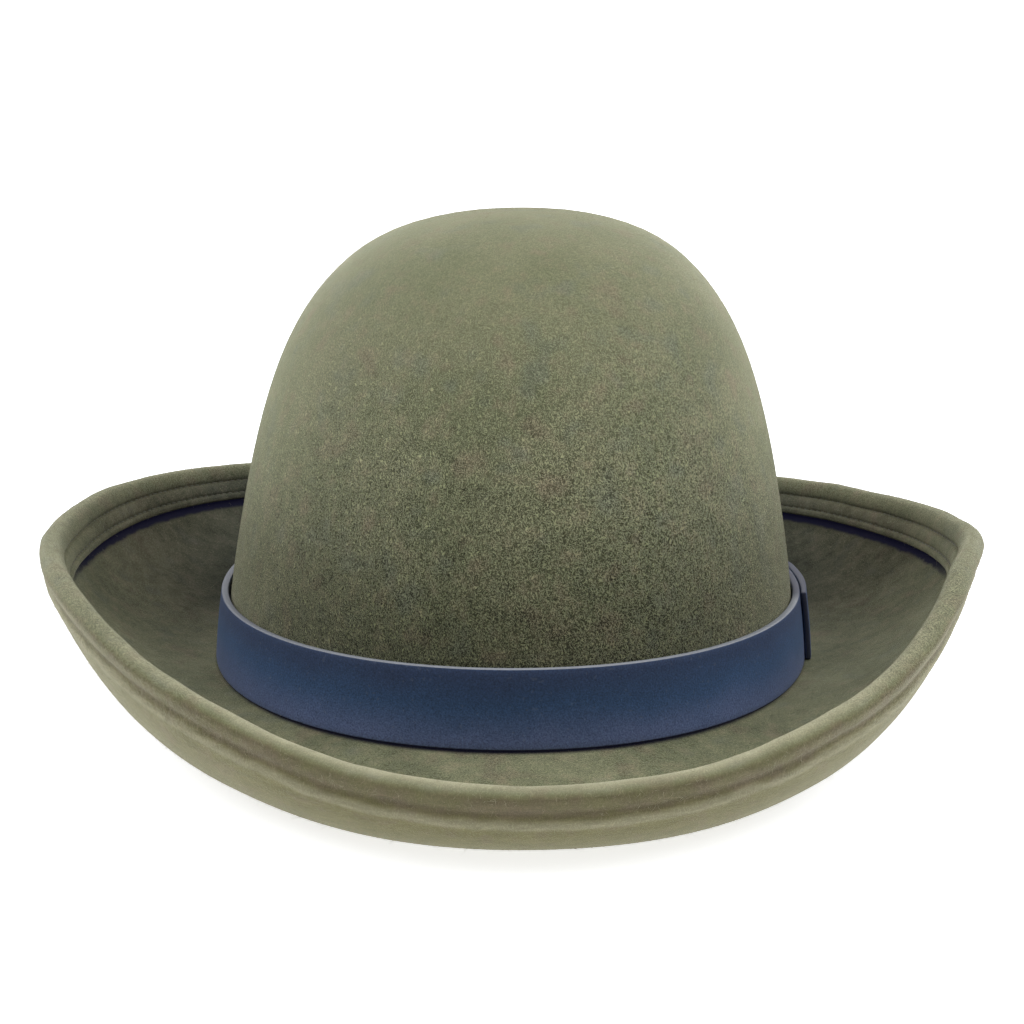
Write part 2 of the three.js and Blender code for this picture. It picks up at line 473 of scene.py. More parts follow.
    def _colour(self, kit: NodeKit, grain: FeltGrain, zones: FeltZones) -> Wire:
        """Lays the felt's colours over each other.

        Args:
            grain: The felt's patterns.
            zones: The felt's parts.

        Returns:
            The colour before light and dark are worked in.
        """
        mottle, hue, outside = grain.mottle, grain.hue, zones.outside
        # Painted highlight along the roll, most at the front, along the ridge under it and on the
        # welt's free edge.
        highlight_share = zones.roll * (0.24 + zones.front * 0.60) + zones.ridge * 0.56
        coats = (
            (mottle.ramp(0.48, 0.8) * 0.5, self.brown),
            (hue.ramp(0.55, 0.75) * 0.45, self.slate),
            (hue.ramp(0.44, 0.26) * 0.45, self.brown),
            (outside * 0.8, self.khaki),
            # Painted shade: the valley under the roll is darker and browner.
            (zones.valley * 0.6 * mottle.ramp(0.2, 0.6), self.brown),
            # Painted shade inside the rear of the brim and beside the crown's back.
            (zones.inner * zones.behind * 0.6, self.shade_umber),
            (zones.inner * zones.beside * 0.45, self.shade_pine),
            (outside * mottle.ramp(0.50, 0.72) * 0.45, self.brown),
            (highlight_share + zones.free_edge * 0.12, self.painted_highlight),
        )
        colour = kit.blend(grain.cloud.ramp(0.36, 0.66), self.deep, self.olive)
        for share, coat in coats:
            colour = kit.blend(share, colour, coat)
        return colour

    def _light(self, grain: FeltGrain, zones: FeltZones, coarse: Wire) -> Wire:
        """Works out how light or dark the felt is, about 1.

        Args:
            grain: The felt's patterns.
            zones: The felt's parts.
            coarse: How strongly the grain shows.

        Returns:
            The amount that the colour is multiplied by.
        """
        cloud, mottle, inner = grain.cloud - 0.5, grain.mottle - 0.5, zones.inner
        specks = (grain.fleck - 0.5) * 0.6 + (grain.fibre - 0.43) * 1.25 + mottle * 0.8
        wisps = (grain.wisp - 0.5) * (0.10 + zones.outside * 0.45 + zones.roll * 0.3)
        light = 1.0 + specks * coarse + wisps
        light = light + mottle * inner * 0.7 + cloud * inner * 0.7
        # Painted shade in the sewn grooves and in the valley under the roll.
        light = self._shaded(light, ((zones.groove, -0.12), (zones.valley, -0.22)))
        # Painted light: the welt at the rear of the brim is made lighter, more towards the
        # wearer's left.
        light = light + inner * zones.behind * zones.welt
        changes = (
            # Painted shade deep inside the brim and beside the crown's back.
            (inner * zones.deep_in, -0.30),
            (inner * zones.beside, -0.32),
            # Painted shade at the crown's foot, close to the brim.
            (zones.foot, -0.30),
            # Painted shade on the underside of the brim.
            (zones.outside, -0.34),
            # Painted light on the crown's top and on its sides.
            (zones.tip, 0.09),
            (zones.side, 0.28),
        )
        return self._shaded(light, changes).held(*self.light_range)

    @staticmethod
    def _shaded(light: Wire, changes: tuple[tuple[Wire, float], ...]) -> Wire:
        """Makes each named part lighter or darker by its share."""
        for zone, change in changes:
            light = light * (1.0 + zone * change)
        return light

    @staticmethod
    def _stripe(place: Wire, middle_mm: float, half_mm: float) -> Wire:
        """Soft stripe along the brim.

        Args:
            place: Distance from the brim's edge in metres.
            middle_mm: Middle of the stripe.
            half_mm: Distance from its middle to where it has faded out.

        Returns:
            1 at the middle and 0 past the fade.
        """
        return abs(place - middle_mm * MM).ramp(half_mm * MM, 0.15 * half_mm * MM)


@dataclass(frozen=True)
class FuzzFinish:
    """Loose wool fibres, paler than the felt that they stand on."""

    pale: tuple = (0.34, 0.33, 0.22)
    brown: tuple = (0.25, 0.20, 0.13)
    tuft_mm: float = 6.0
    streak_mm: float = 0.5

    def material(self) -> bpy.types.Material:
        """Builds the fibres' material."""
        material, kit = new_material("loose_wool")
        tuft = kit.noise(self.tuft_mm).ramp(0.42, 0.62)
        along = kit.noise(self.streak_mm, 1.0)
        colour = kit.blend(tuft * 0.8, self.pale, self.brown)
        sockets = {
            "Base Color": kit.tint(colour, 0.7 + along * 0.6),
            "Roughness": 0.85,
            "Specular IOR Level": 0.2,
            "Normal": kit.bump(along, 0.3, 0.02),
        }
        kit.surface(kit.principled(sockets))
        return material


@dataclass(frozen=True)
class LeatherFinish:
    """Matte navy leather with a very fine grain."""

    navy: tuple = (0.030, 0.053, 0.125)
    middle: tuple = (0.036, 0.082, 0.190)
    # Painted light: the pale blue that the band turns towards its lower edge.
    painted_light_blue: tuple = (0.112, 0.148, 0.300)
    chalk: tuple = (0.16, 0.18, 0.22)
    cloud_mm: float = 14.0
    grain_mm: float = 0.42
    pore_mm: float = 0.9
    speck_mm: float = 1.1

    def material(self) -> bpy.types.Material:
        """Builds the grain side of the band; the attribute band_up runs 0 to 1."""
        material, kit = new_material("navy_leather")
        cloud = kit.noise(self.cloud_mm, 3.0)
        grain = kit.noise(self.grain_mm, rough=0.6)
        sockets = {"Vector": kit.place(), "Scale": 1.0 / (self.pore_mm * MM)}
        pore = kit.node("ShaderNodeTexVoronoi", {"feature": "DISTANCE_TO_EDGE"}, sockets)
        speck = kit.noise(self.speck_mm, 0.0).ramp(0.74, 0.8)
        uneven = kit.attribute("band_up") + (cloud - 0.5) * 0.35
        # Painted light: the band runs from navy at its top to lighter blue at its lower edge.
        colour = kit.blend(uneven.ramp(0.95, 0.45), self.navy, self.middle)
        colour = kit.blend(uneven.ramp(0.6, -0.06), colour, self.painted_light_blue)
        colour = kit.tint(colour, 1.0 + (grain - 0.5) * 1.8)
        height = grain * 0.5 + pore.ramp(0.0, 0.25) * 0.5
        sockets = {
            "Base Color": kit.blend(speck * 0.18, colour, self.chalk),
            "Roughness": 0.5 + grain * 0.16,
            "Specular IOR Level": 0.42,
            "Sheen Weight": 0.06,
            "Sheen Roughness": 0.4,
            "Normal": kit.bump(height, 0.35, 0.09),
        }
        kit.surface(kit.principled(sockets))
        return material


@dataclass(frozen=True)
class CutEdgeFinish:
    """Dressed and burnished cut edge of the leather, smoother than its grain."""

    # Painted reflection: the pale that the top of the cut edge gets where light glances off it.
    pale: tuple = (0.270, 0.288, 0.325)
    dark: tuple = (0.050, 0.056, 0.094)
    streak_mm: float = 0.8

    def material(self) -> bpy.types.Material:
        """Builds the cut edge; the attribute edge_glint is how pale its top is painted, as a
        painted reflection.
        """
        material, kit = new_material("dressed_edge")
        up, glint = kit.attribute("band_up"), kit.attribute("edge_glint")
        streak = kit.noise(self.streak_mm)
        colour = kit.blend(up.ramp(0.955, 0.985) * glint, self.dark, self.pale)
        sockets = {
            "Base Color": kit.tint(colour, 0.8 + streak * 0.4),
            "Roughness": 0.5 + streak * 0.12,
            "Specular IOR Level": 0.3,
            "Normal": kit.bump(streak, 0.2, 0.05),
        }
        kit.surface(kit.principled(sockets))
        return material


@dataclass(frozen=True)
class ThreadFinish:
    """Twisted sewing thread, a shade darker than the felt."""

    olive: tuple = (0.112, 0.112, 0.070)
    shadow: float = 0.6
    twist_mm: float = 0.35

    def material(self) -> bpy.types.Material:
        """Builds the thread."""
        material, kit = new_material("olive_thread")
        twist = kit.noise(self.twist_mm, 1.0)
        dark = tuple(self.shadow * c for c in self.olive)
        sockets = {
            "Base Color": kit.blend(twist, dark, self.olive),
            "Roughness": 0.6,
            "Sheen Weight": 0.25,
            "Normal": kit.bump(twist, 0.5, 0.08),
        }
        kit.surface(kit.principled(sockets))
        return material


# Felt sections.


class BrimColumn(Enum):
    """Columns of the brim's table of shapes."""

    ROOT = 0
    EDGE = 1
    CURL = 2


@dataclass
class HatShape:
    """The hat's named sizes in millimetres, as in its solids."""

    half_width: float = 86.0
    half_length: float = 101.6
    sag: float = 2.3
    felt: float = 2.2
    crown_height: float = 127.8
    crown_lean: float = 2.3
    tip_lean: float = 1.6
    tip_oval: float = 1.12
    brim_width: float = 66.3
    front_extra: float = 0.9
    brim_drop: float = 1.4
    edge_roll: float = 3.2
    rest_tip: float = 1.35
    rest_lift: float = 4.5
    rest_aside: float = 0.83
    path_steps: int = 80

    # Half-width that a round dome would have, every 15 degrees of climb.
    DOME = (86.0, 84.3, 86.9, 93.8, 104.8, 121.5, 135.0)

    # Root slope, edge slope and curl, every 30 degrees from the front.
    BRIM = (
        (-12.1, 95.4, 3.4), (-13.3, 94.8, 2.1), (1.4, 83.4, 1.15),
        (2.2, 75.5, 1.25), (4.5, 69.1, 1.8), (1.6, 66.7, 2.2),
        (3.6, 64.2, 2.25), (7.2, 63.2, 1.95), (8.4, 66.2, 1.35),
        (3.7, 81.9, 1.35), (-3.4, 88.5, 1.25), (-13.6, 100.9, 2.05),
    )

    @staticmethod
    def smooth(values: np.ndarray, t: np.ndarray, closed: bool) -> np.ndarray:
        """Smooth curve through evenly spaced numbers.

        Args:
            values: The numbers.
            t: Positions, 1 apart from number to number.
            closed: Whether the numbers run round in a ring.

        Returns:
            The curve's value at each position.
        """
        count = len(values)
        cell = np.minimum(np.floor(t).astype(int), count - (1 if closed else 2))
        picks = [cell + step for step in (-1, 0, 1, 2)]
        picks = [i % count if closed else np.clip(i, 0, count - 1) for i in picks]
        p0, p1, p2, p3 = (values[i] for i in picks)
        f = t - cell
        slope1, slope2 = (p2 - p0) / 2, (p3 - p1) / 2
        bend = 2 * (p1 - p2) + slope1 + slope2
        return p1 + f * (slope1 + f * (p2 - p1 - slope1 - bend + f * bend))

    def column(self, name: BrimColumn, angle: np.ndarray) -> np.ndarray:
        """One column of the brim's table at some angles in degrees."""
        values = np.array([row[name.value] for row in self.BRIM])
        return self.smooth(values, (angle / 360.0 % 1.0) * len(values), True)

    def headline(self, angle: np.ndarray) -> np.ndarray:
        """Height of the line where crown and brim meet."""
        return -self.sag * np.sin(np.radians(angle)) ** 2

    def out_from_head(self, angle: np.ndarray, out: np.ndarray, up: np.ndarray) -> np.ndarray:
        """Points beside the headline oval.

        Args:
            angle: Degrees from the front towards the wearer's left.
            out: Distance out, square to the oval.
            up: Height over the highest point of the headline.

        Returns:
            An array of points.
        """
        sin, cos = np.sin(np.radians(angle)), np.cos(np.radians(angle))
        square = np.stack([sin / self.half_width, -cos / self.half_length], -1)
        square /= np.linalg.norm(square, axis=-1, keepdims=True)
        x = self.half_width * sin + square[..., 0] * out
        y = -self.half_length * cos + square[..., 1] * out
        return np.stack([x, y, up + 0 * x], -1)

    def on_dome(self, angle: np.ndarray, climb: float, depth: float) -> np.ndarray:
        """Points of the crown at a climb angle, a depth in from its outer face."""
        share = climb / 90.0
        dome = np.array(self.DOME)
        spread = self.smooth(dome, np.array(share * (len(dome) - 1)), False)
        oval = self.half_length / self.half_width * (1 - share) + self.tip_oval * share
        level = math.cos(math.radians(climb))
        lean = self.crown_lean * share + self.tip_lean * share**4
        sin, cos = np.sin(np.radians(angle)), np.cos(np.radians(angle))
        x = (spread - depth) * level * sin + lean
        y = -(spread * oval - depth) * level * cos
        z = (self.crown_height - depth) * math.sin(math.radians(climb))
        return np.stack([x, y, z + 0 * x], -1)

    def brim_path(self, angle: np.ndarray) -> dict[str, np.ndarray]:
        """Middle line of the brim's felt.

        Args:
            angle: Degrees, one for each line.

        Returns:
            The lines' width, and their out, up and slope at each step.
        """
        width = self.brim_width + self.front_extra * np.cos(np.radians(angle))
        root = np.radians(self.column(BrimColumn.ROOT, angle))
        turn = np.radians(self.column(BrimColumn.EDGE, angle)) - root
        curl = self.column(BrimColumn.CURL, angle)
        share = np.arange(self.path_steps + 1)[:, None] / self.path_steps
        middle = share[1:] - 0.5 / self.path_steps
        slope = root + turn * middle**curl
        step = width / self.path_steps
        zero = np.zeros((1, len(angle)))
        out = np.vstack([zero, np.cumsum(np.cos(slope) * step, axis=0)])
        up = np.vstack([zero, np.cumsum(np.sin(slope) * step, axis=0)])
        up = up + self.headline(angle) - self.brim_drop
        return {"width": width, "out": out, "up": up, "slope": root + turn * share**curl}

    def on_brim(self, angle: np.ndarray, path: dict, along: np.ndarray, off: float) -> np.ndarray:
        """Points beside the brim's middle line.

        Args:
            angle: Degrees, one for each line.
            path: What brim_path gave for these angles.
            along: Distance out along the felt from the headline.
            off: Distance above the middle line.

        Returns:
            An array of points.
        """
        place = np.clip(along / path["width"] * self.path_steps, 0, self.path_steps - 1e-6)
        cell = np.floor(place).astype(int)
        f = place - cell
        line = np.arange(len(angle))

        def between(name: str) -> np.ndarray:
            """Value of the path between two of its steps."""
            return path[name][cell, line] * (1 - f) + path[name][cell + 1, line] * f

        slope = between("slope")
        out = between("out") - np.sin(slope) * off
        up = between("up") + np.cos(slope) * off
        return self.out_from_head(angle, out, up)

    def on_roll(self, angle: np.ndarray, path: dict, turn: float) -> np.ndarray:
        """Points of the round edge, turned in degrees from the brim's slope."""
        way = path["slope"][-1] + math.radians(turn)
        out = path["out"][-1] + np.cos(way) * self.edge_roll
        up = path["up"][-1] + np.sin(way) * self.edge_roll
        return self.out_from_head(angle, out, up)

    def rest(self, points: np.ndarray) -> np.ndarray:
        """Tips and lowers points of the upright hat onto the table, in metres."""
        turn = np.array(Matrix.Rotation(math.radians(-self.rest_tip), 3, "X"))
        settled = points @ turn.T
        settled[..., 0] -= self.rest_aside
        settled[..., 2] = np.maximum(settled[..., 2] + self.rest_lift, 0)
        return settled * MM


# Mesh tools.


def clear_selection() -> None:
    """Deselects everything."""
    for other in bpy.context.scene.objects:
        other.select_set(False)


def only(obj: bpy.types.Object) -> None:
    """Selects one object alone and makes it active."""
    clear_selection()
    obj.select_set(True)
    bpy.context.view_layer.objects.active = obj


def named(name: str) -> bpy.types.Object:
    """Names the primitive that was just added, and its mesh."""
    obj = bpy.context.object
    obj.name = name
    obj.data.name = name
    return obj


def move_points(obj: bpy.types.Object, points: np.ndarray) -> None:
    """Gives every vertex of a mesh a new place."""
    obj.data.vertices.foreach_set("co", np.asarray(points, dtype=np.float32).ravel())
    obj.data.update()


def read_all(
    items: bpy.types.bpy_prop_collection, name: str, width: int = 1, kind: type = np.float32
) -> np.ndarray:
    """Reads one property of every item of a collection.

    Args:
        items: The collection.
        name: The property's name.
        width: How many numbers one item has.
        kind: The numbers' type.

    Returns:
        A row of numbers for each item.
    """
    flat = np.empty(len(items) * width, kind)
    items.foreach_get(name, flat)
    return flat.reshape(-1, width)


def read_points(obj: bpy.types.Object) -> np.ndarray:
    """The places of a mesh's vertices."""
    return read_all(obj.data.vertices, "co", 3).astype(float)


def put_values(obj: bpy.types.Object, name: str, values: np.ndarray) -> None:
    """Stores one number at each vertex under a name."""
    attribute = obj.data.attributes.new(name, "FLOAT", "POINT")
    attribute.data.foreach_set("value", np.asarray(values, dtype=np.float32))


def through(knots: np.ndarray, cuts: list[int]) -> np.ndarray:
    """Smooth curves through rows of points.

    Args:
        knots: Points as (row, curve, axis).
        cuts: Into how many steps each span between two rows is divided.

    Returns:
        The rows of points, the given ones among them.
    """
    span = np.linalg.norm(np.diff(knots, axis=0), axis=-1, keepdims=True)
    span = np.maximum(span, 1e-6)
    chord = np.diff(knots, axis=0) / span
    inner = (chord[:-1] * span[1:] + chord[1:] * span[:-1]) / (span[:-1] + span[1:])
    way = np.concatenate([chord[:1], inner, chord[-1:]])
    rows = []
    for i, count in enumerate(cuts):
        for f in np.arange(count) / count:
            f2, f3 = f * f, f * f * f
            rows.append(
                (2 * f3 - 3 * f2 + 1) * knots[i]
                + (f3 - 2 * f2 + f) * span[i] * way[i]
                + (3 * f2 - 2 * f3) * knots[i + 1]
                + (f3 - f2) * span[i] * way[i + 1]
            )
    rows.append(knots[-1])
    return np.stack(rows)


def smooth_step(share: np.ndarray) -> np.ndarray:
    """Eases a share held between 0 and 1 in and out."""
    held = np.clip(share, 0, 1)
    return held * held * (3 - 2 * held)


def ripple(points: np.ndarray, waves: tuple, seed: int, sines: int = 6) -> np.ndarray:
    """Gentle unevenness of handmade felt.

    Args:
        points: Places in millimetres.
        waves: Wavelength and height of each kind of wave.
        seed: Fixes the waves' ways and phases.
        sines: How many sine waves make up one kind.

    Returns:
        A distance for each place.
    """
    # The sines fall in and out of step, so their sum stays near the height.
    crowding = 2.5
    draw = np.random.default_rng(seed)
    total = np.zeros(points.shape[:-1])
    for length, height in waves:
        for _ in range(sines):
            way = draw.normal(size=3)
            way *= 2 * math.pi / (length * np.linalg.norm(way))
            total += height / crowding * np.sin(points @ way + draw.uniform(0, 2 * math.pi))
    return total


# Felt cap.


@dataclass
class FeltCap:
    """Crown, brim and sewn welt as one closed felt shell."""

    shape: HatShape
    finish: FeltFinish
    stations: int = 384
    far: float = 80.0
    slot_reach: float = 40.0
    uneven_reach: float = 22.0

    # Wavelength and height of the felt's unevenness up and sideways, each with
    # its seed.
    UP_WAVES = (((60.0, 0.12), (24.0, 0.10), (9.0, 0.05)), 7)
    SIDE_WAVES = (((45.0, 0.15), (17.0, 0.09), (8.0, 0.05)), 11)

    # The rows of points: climb in degrees on the dome and turn on the roll; out
    # and up beside the headline; along the brim; and back from the edge with the
    # height over the middle of the felt, or below it on the underside.
    OUTER_CLIMB = tuple(range(84, 6, -6))
    INNER_CLIMB = (6, 15, 24, 33, 42, 51, 60, 68, 76, 84)
    CROWN_FOOT = ((-0.6, 5.0), (-0.1, -0.1))
    BRIM_UPPER = (1.5, 8, 15, 22, 29, 36, 42, 47)
    WELT_SLOT = ((17, 0.9), (14.4, 0.6), (11.5, 0.3), (9, 0.2), (9, 0.5), (11.5, 0.9))
    WELT_TOP = (
        (14.6, 1.7), (14.8, 2.6), (14.2, 3.3), (13.2, 3.45), (12.7, 3.2), (12.2, 2.7),
        (11.7, 3.2), (10.6, 3.55), (8.6, 3.5), (7.6, 3.1), (7.0, 2.2), (6.4, 2.9),
        (5.4, 3.35),
    )
    ROLL_TURN = (75, 50, 25, 0, -25, -50, -72)
    EDGE_UNDERSIDE = (
        (4.1, 2.65), (5.2, 2.15), (6.3, 2.35), (7.6, 2.7), (9.4, 2.3), (12.5, 1.75),
        (17, 1.3),
    )
    BRIM_UNDER = (45, 40, 35, 30, 24, 17, 10, 4)
    MOUTH_LIP = ((-0.6, -2.1), (-2.2, 1.5))

    def build(self) -> bpy.types.Object:
        """Makes the shell from a sphere whose rings are laid along the felt."""
        rings, reach, root = self._rings()
        clear_selection()
        bpy.ops.mesh.primitive_uv_sphere_add(
            segments=self.stations, ring_count=len(rings) - 1, radius=1.0
        )
        cap = named("felt_shell")
        start = read_points(cap)
        ring = np.rint(np.arccos(np.clip(start[:, 2], -1, 1)) / math.pi * (len(rings) - 1))
        turn = np.arctan2(start[:, 1], start[:, 0]) / (2 * math.pi) * self.stations
        ring = ring.astype(int)
        turn = np.rint(turn).astype(int) % self.stations
        move_points(cap, rings[ring, turn])
        put_values(cap, "edge_reach", reach[ring, turn] * MM)
        put_values(cap, "root_reach", root[ring, turn] * MM)
        put_values(cap, "station", ring * self.stations + turn)
        bpy.ops.object.shade_smooth()
        cap.data.materials.append(self.finish.material())
        return cap

    def _rings(self) -> tuple[np.ndarray, np.ndarray, np.ndarray]:
        """Lays the sections out.

        Returns:
            Rings of points in metres, each point's distance from the very edge
            of the brim, above 0 on the upper side and below on the under, and
            its distance out from the crown's foot, below 0 up the crown.
        """
        shape = self.shape
        # The sphere's azimuth starts at +X, which is a quarter turn from the front.
        angle = 90.0 + 360.0 * np.arange(self.stations) / self.stations
        path = shape.brim_path(angle)
        edge = path["width"] + shape.edge_roll
        half = shape.felt / 2
        knots, reach, root, cuts = [], [], [], []

        def add(points: np.ndarray, distance: np.ndarray | float, cut: int, out: float) -> None:
            """Adds one row of points and the number of steps that follow it."""
            knots.append(points)
            reach.append(distance + 0 * angle)
            root.append(out + 0 * angle)
            cuts.append(cut)

        far = self.far
        full = shape.brim_width + shape.edge_roll
        add(shape.on_dome(angle, 90, 0), far, 2, -far)
        for climb in self.OUTER_CLIMB:
            add(shape.on_dome(angle, climb, 0), far, 2, -climb)
        for out, up in self.CROWN_FOOT:
            add(shape.out_from_head(angle, out, shape.headline(angle) + up), far, 2, -up)
        for along in self.BRIM_UPPER:
            add(shape.on_brim(angle, path, along, half), edge - along, 2, along)
        for back, up in self.WELT_SLOT:
            add(shape.on_brim(angle, path, edge - back, up), self.slot_reach, 2, full - back)
        for back, up in self.WELT_TOP:
            add(shape.on_brim(angle, path, edge - back, up), back, 3, far)
        for turn in self.ROLL_TURN:
            bent = shape.edge_roll * math.radians(turn)
            add(shape.on_roll(angle, path, turn), bent, 3, far)
        for back, down in self.EDGE_UNDERSIDE:
            add(shape.on_brim(angle, path, edge - back, -down), -back, 3, far)
        for along in self.BRIM_UNDER:
            add(shape.on_brim(angle, path, along, -half), along - edge, 2, far)
        for out, up in self.MOUTH_LIP:
            add(shape.out_from_head(angle, out, shape.headline(angle) + up), -far, 2, far)
        for climb in self.INNER_CLIMB:
            add(shape.on_dome(angle, climb, shape.felt), -far, 2, far)
        add(shape.on_dome(angle, 90, shape.felt), -far, 1, far)
        cuts = cuts[:-1]
        points = through(np.stack(knots), cuts)
        distance = through(np.stack(reach)[..., None], cuts)[..., 0]
        start = through(np.stack(root)[..., None], cuts)[..., 0]
        return shape.rest(self._uneven(points, distance)), distance, start

    def _uneven(self, points: np.ndarray, distance: np.ndarray) -> np.ndarray:
        """Adds the felt's gentle unevenness, most at the brim's rolled edge."""
        near = np.clip(1 - np.abs(distance) / self.uneven_reach, 0, 1)[..., None]
        lift = ripple(points, *self.UP_WAVES)[..., None]
        side = ripple(points, *self.SIDE_WAVES)[..., None]
        out = points * (1, 1, 0)
        out = out / np.maximum(np.linalg.norm(out, axis=-1, keepdims=True), 1e-6)
        return points + near * (np.array((0, 0, 1.0)) * lift + out * side)


# Leather band.


@dataclass
class LeatherBand:
    """Plain leather band whose outer end laps over its tail at the left."""

    shape: HatShape
    finish: LeatherFinish
    edge_finish: CutEdgeFinish
    width: float = 20.3
    thickness: float = 2.2
    inset: float = 2.26
    gap: float = 0.5
    seat_gap: float = 0.3
    tail: float = 97.0
    rise: float = -255.0
    settled: float = -265.0
    end: float = -284.0
    lap_gap: float = 0.3
    pared: float = 1.6
    paring: float = 12.0
    bulge: float = 0.22
    edge_round: float = 0.5
    round_steps: int = 3
    sharp: float = 50.0
    steps_round: int = 380
    steps_up: int = 10

    # How pale the top edge is painted, as a painted reflection, at angles round the band.
    GLINT_AT = (-284, -255, -235, -120, -75, -35, 50, 70, 76, 97)
    GLINT = (0.0, 0.0, 0.5, 0.5, 0.55, 1.0, 1.0, 0.9, 0.0, 0.0)

    def seat(self, angle: np.ndarray) -> np.ndarray:
        """Height at which the band's lower edge just clears the brim."""
        path = self.shape.brim_path(angle)
        heights = [
            self.shape.on_brim(angle, path, np.full(len(angle), out), self.shape.felt / 2)[..., 2]
            for out in (self.gap, self.gap + self.thickness)
        ]
        return np.maximum(*heights) + self.seat_gap

    def lap(self, angle: np.ndarray) -> np.ndarray:
        """How far the band stands off where it rides over its own tail."""
        share = smooth_step((self.rise - angle) / (self.rise - self.settled))
        return share * (self.thickness + self.lap_gap)

    def leather(self, angle: np.ndarray) -> np.ndarray:
        """Thickness of the leather, which is pared towards its outer end."""
        share = smooth_step((angle - self.end) / self.paring)
        return self.pared + (self.thickness - self.pared) * share

    def build(self) -> bpy.types.Object:
        """Bends a flat strip round the crown, gives it thickness and rounds its edges."""
        clear_selection()
        bpy.ops.mesh.primitive_grid_add(
            x_subdivisions=self.steps_round, y_subdivisions=self.steps_up, size=2.0
        )
        band = named("band_strip")
        start = read_points(band)
        angle = self.end + (self.tail - self.end) * (start[:, 0] + 1) / 2
        up = self.width * (start[:, 1] + 1) / 2
        share = up / self.width
        bulge = self.bulge * (1 - (2 * share - 1) ** 2)
        leather = self.leather(angle)
        out = self.gap + self.lap(angle) + leather - self.inset * share + bulge
        points = self.shape.out_from_head(angle, out, self.seat(angle) + up)
        move_points(band, self.shape.rest(points))
        put_values(band, "band_up", share)
        put_values(band, "edge_glint", np.interp(angle, self.GLINT_AT, self.GLINT))
        self._thicken(band, leather / self.thickness)
        self._round_edges(band)
        bpy.ops.object.shade_smooth_by_angle(angle=math.radians(self.sharp))
        return band

    def _thicken(self, band: bpy.types.Object, shares: np.ndarray) -> None:
        """Gives the strip its thickness, inwards, with the rim in its own finish.

        Args:
            band: The strip.
            shares: Each vertex's share of the full thickness.
        """
        band.data.materials.append(self.finish.material())
        band.data.materials.append(self.edge_finish.material())
        group = band.vertex_groups.new(name="leather")
        for i, share in enumerate(shares):
            group.add([i], float(share), "REPLACE")
        only(band)
        solid = band.modifiers.new("thickness", "SOLIDIFY")
        solid.thickness = self.thickness * MM
        solid.offset = -1.0
        solid.use_even_offset = True
        solid.material_offset_rim = 1
        solid.vertex_group = group.name
        bpy.ops.object.modifier_apply(modifier=solid.name)

    def _round_edges(self, band: bpy.types.Object) -> None:
        """Rounds the strip's sharp edges."""
        bevel = band.modifiers.new("edges", "BEVEL")
        bevel.width = self.edge_round * MM
        bevel.segments = self.round_steps
        bevel.limit_method = "ANGLE"
        bevel.angle_limit = math.radians(self.sharp)
        bpy.ops.object.modifier_apply(modifier=bevel.name)


# Welt stitches.


@dataclass
class WeltStitches:
    """Two rows of thread sunk in the welt's grooves."""

    shape: HatShape
    finish: ThreadFinish
    pitch: float = 3.1
    length: float = 2.3
    thick: float = 0.42
    slant: float = 7.0
    stray: float = 0.08
    path_steps: int = 1440

    # Each row's distance in from the edge and height over the middle of the felt.
    ROWS = ((7.0, 2.32), (12.2, 2.82))

    def build(self) -> bpy.types.Object:
        """Models one stitch and sets a copy of it at each place of both rows."""
        clear_selection()
        bpy.ops.mesh.primitive_uv_sphere_add(segments=6, ring_count=5, radius=0.5)
        stitches = named("welt_stitches")
        one = read_points(stitches)
        faces = [tuple(p.vertices) for p in stitches.data.polygons]
        # The sphere's Z runs along the thread.
        one = one * np.array((self.thick, self.thick, self.length))
        points, polygons = [], []
        for back, off in self.ROWS:
            for middle, along, up in self._places(back, off):
                side = np.cross(up, along)
                axes = np.stack([side, up, along])
                polygons += [tuple(v + len(points) * len(one) for v in f) for f in faces]
                points.append(middle + one @ axes)
        mesh = bpy.data.meshes.new("welt_stitches")
        flat = self.shape.rest(np.concatenate(points))
        mesh.from_pydata(flat.tolist(), [], polygons)
        stitches.data = mesh
        only(stitches)
        bpy.ops.object.shade_smooth()
        mesh.materials.append(self.finish.material())
        return stitches

    def _places(self, back: float, off: float) -> list[tuple]:
        """Where the stitches of one row lie.

        Args:
            back: The row's distance in from the brim's edge.
            off: Its height over the middle of the felt.

        Returns:
            For each stitch its middle, its way along the row and its way up.
        """
        angle = np.linspace(0, 360, self.path_steps + 1)
        path = self.shape.brim_path(angle)
        edge = path["width"] + self.shape.edge_roll
        line = self.shape.on_brim(angle, path, edge - back, off)
        above = self.shape.on_brim(angle, path, edge - back, off + 1.0)
        run = np.concatenate([[0], np.cumsum(np.linalg.norm(np.diff(line, axis=0), axis=1))])
        count = int(run[-1] / self.pitch)
        draw = np.random.default_rng(int(back * 10))
        at = (np.arange(count) + draw.uniform(-self.stray, self.stray, count)) / count * run[-1]

        def pick(values: np.ndarray, where: np.ndarray) -> np.ndarray:
            """Points of a line at distances along it."""
            return np.stack([np.interp(where, run, values[:, k]) for k in range(3)], -1)

        middle = pick(line, at)
        before, after = np.maximum(at - 0.5, 0), np.minimum(at + 0.5, run[-1])
        along = pick(line, after) - pick(line, before)
        up = pick(above, at) - middle
        along /= np.linalg.norm(along, axis=1, keepdims=True)
        up -= along * (up * along).sum(1, keepdims=True)
        up /= np.linalg.norm(up, axis=1, keepdims=True)
        slant = math.radians(self.slant)
        along = along * math.cos(slant) + np.cross(along, up) * math.sin(slant)
        return list(zip(middle, along, up))


# Loose fibres.


